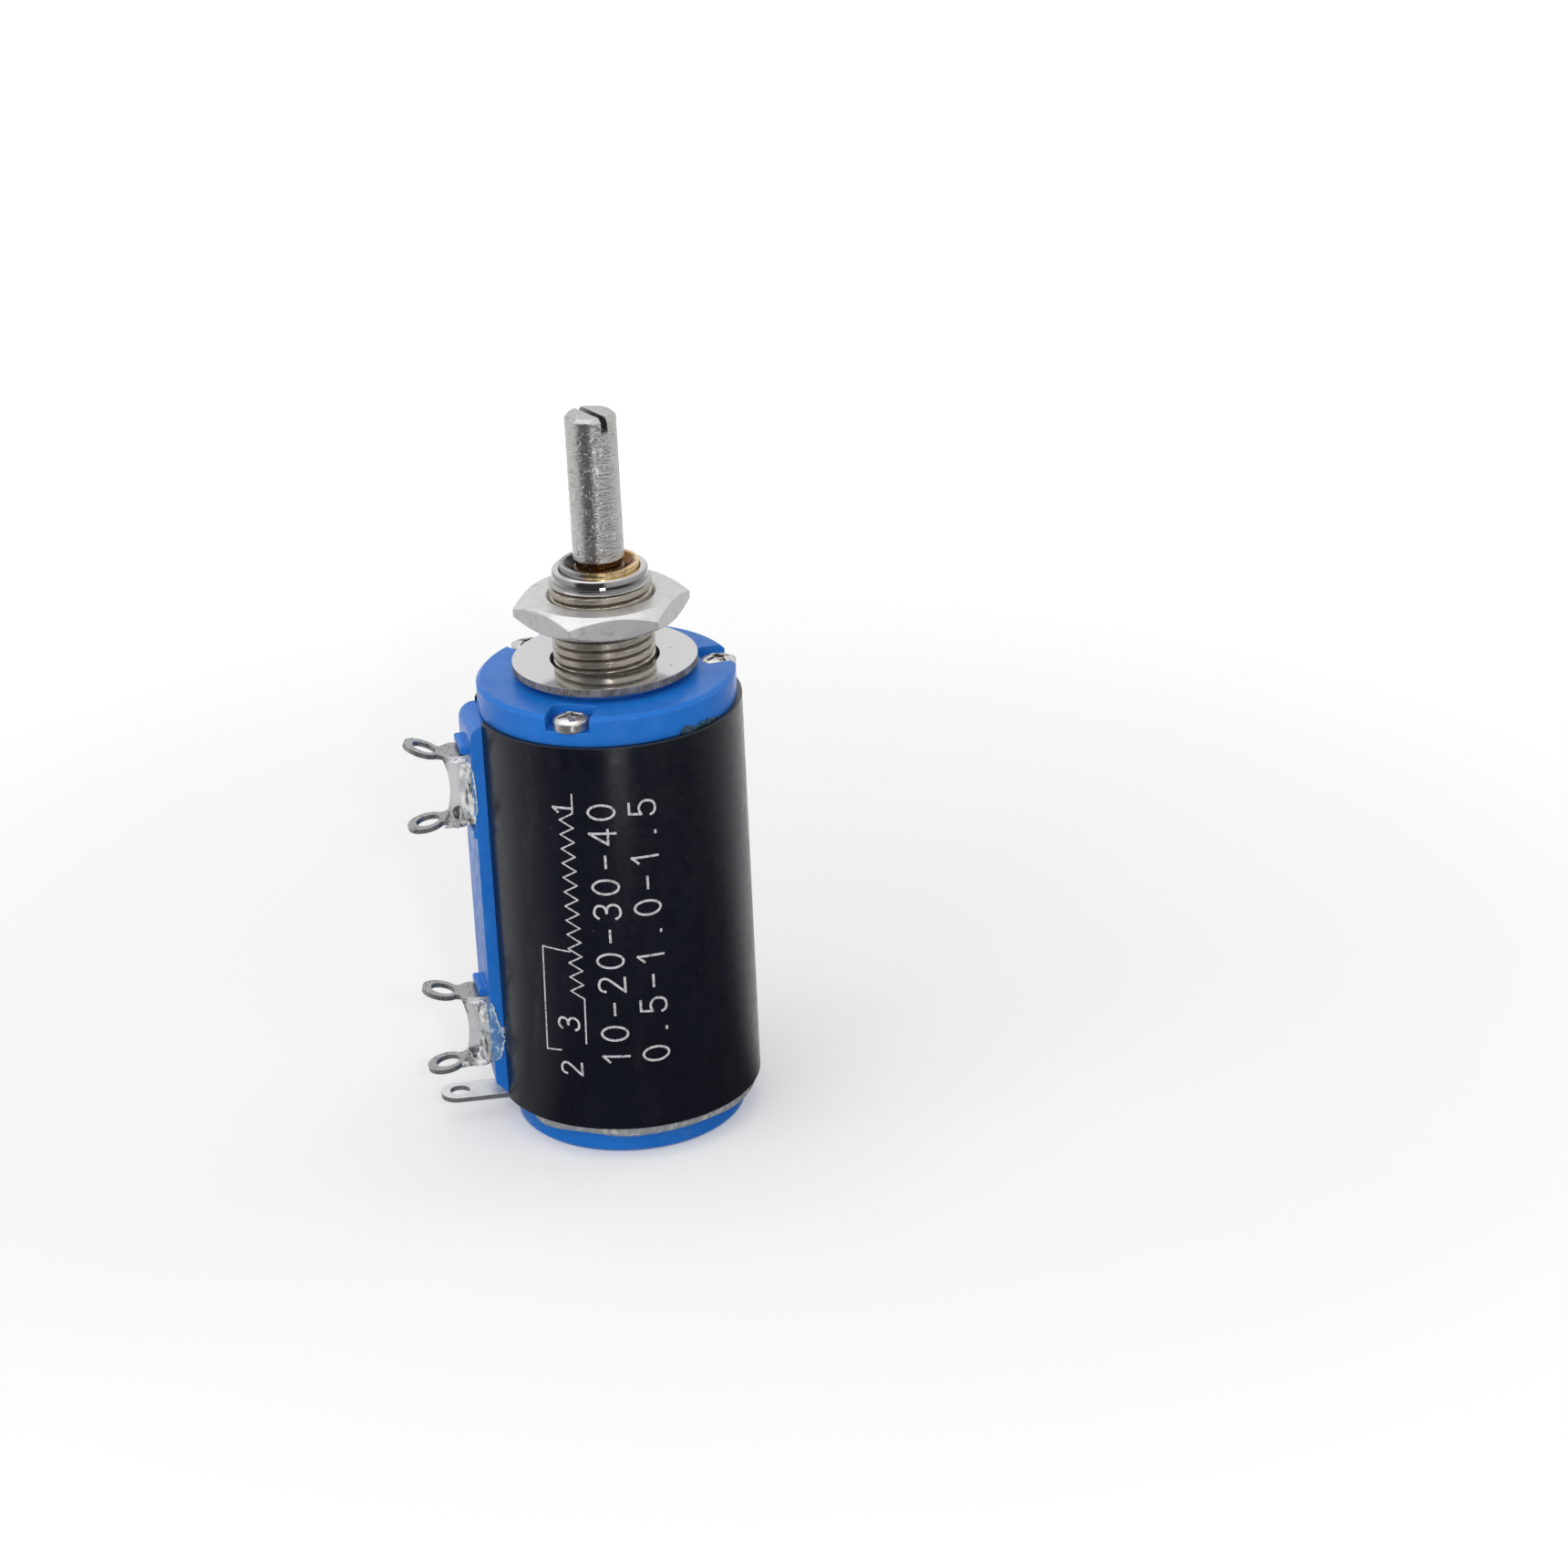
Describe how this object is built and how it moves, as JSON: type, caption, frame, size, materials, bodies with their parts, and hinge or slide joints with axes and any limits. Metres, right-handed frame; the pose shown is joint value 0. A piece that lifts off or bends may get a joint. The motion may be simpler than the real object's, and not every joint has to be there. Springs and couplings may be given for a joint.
{
  "type": "multiturn potentiometer",
  "caption": "Multiturn wirewound potentiometer with a threaded panel bushing, a slotted shaft, a hex nut and solder lugs.",
  "frame": {"origin": "centre of the flat rear face, on the shaft's axis", "axes": "+Z along the shaft towards the knob end, -X towards the solder lugs"},
  "size_m": [0.0269, 0.021, 0.0587],
  "materials": {
    "black_plastic": "satin moulded",
    "blue_plastic": "satin moulded",
    "screw_steel": "plated",
    "nickel": "nickel-plated, turned",
    "shaft_steel": "ground, slightly pitted",
    "brass": "turned",
    "bright_washer": "bright",
    "tinned_sheet": "tinned",
    "solder": "dull solder",
    "spring_metal": "rolled",
    "glue": "hardened glue",
    "wound_element": "wound resistance wire",
    "drum_plastic": "moulded",
    "slider_plastic": "moulded",
    "washer_plastic": "moulded"
  },
  "bodies": {
    "housing": {"body_tube": "black_plastic", "front_cover": "blue_plastic", "cover_screws": "screw_steel", "bushing": "nickel", "bearing_sleeve": "brass", "panel_washer": "bright_washer", "terminal_strip": "blue_plastic", "front_terminal": "tinned_sheet", "rear_end_terminal": "tinned_sheet", "front_solder": "solder", "rear_solder": "solder", "rear_cover": "blue_plastic", "wiper_terminal": "tinned_sheet", "brush_spring": "spring_metal", "terminal_rivet": "brass", "seam_glue": "glue", "resistance_helix": "wound_element", "thrust_washer": "washer_plastic"},
    "rotor": {"shaft": "shaft_steel", "rotor_drum": "drum_plastic", "slip_ring": "brass", "collector_rod": "brass"},
    "slider": {"slider_block": "slider_plastic", "wiper_contact": "spring_metal"},
    "nut": {"panel_nut": "nickel"}
  },
  "joints": [
    {"name": "shaft_turn", "type": "hinge", "parent": "housing", "child": "rotor", "pos_m": [0, 0, 0], "axis": [0, 0, -1], "range_deg": [0, 3600]},
    {"name": "slider_travel", "type": "slide", "parent": "rotor", "child": "slider", "axis": [0, 0, 1], "range_m": [-0.022, 0]},
    {"name": "nut_travel", "type": "slide", "parent": "housing", "child": "nut", "axis": [0, 0, 1], "range_m": [-0.00328, 0.0011]}
  ],
  "couplings": [
    {"joint": "slider_travel", "follows": "shaft_turn", "m_per_rad": -0.00035014}
  ]
}
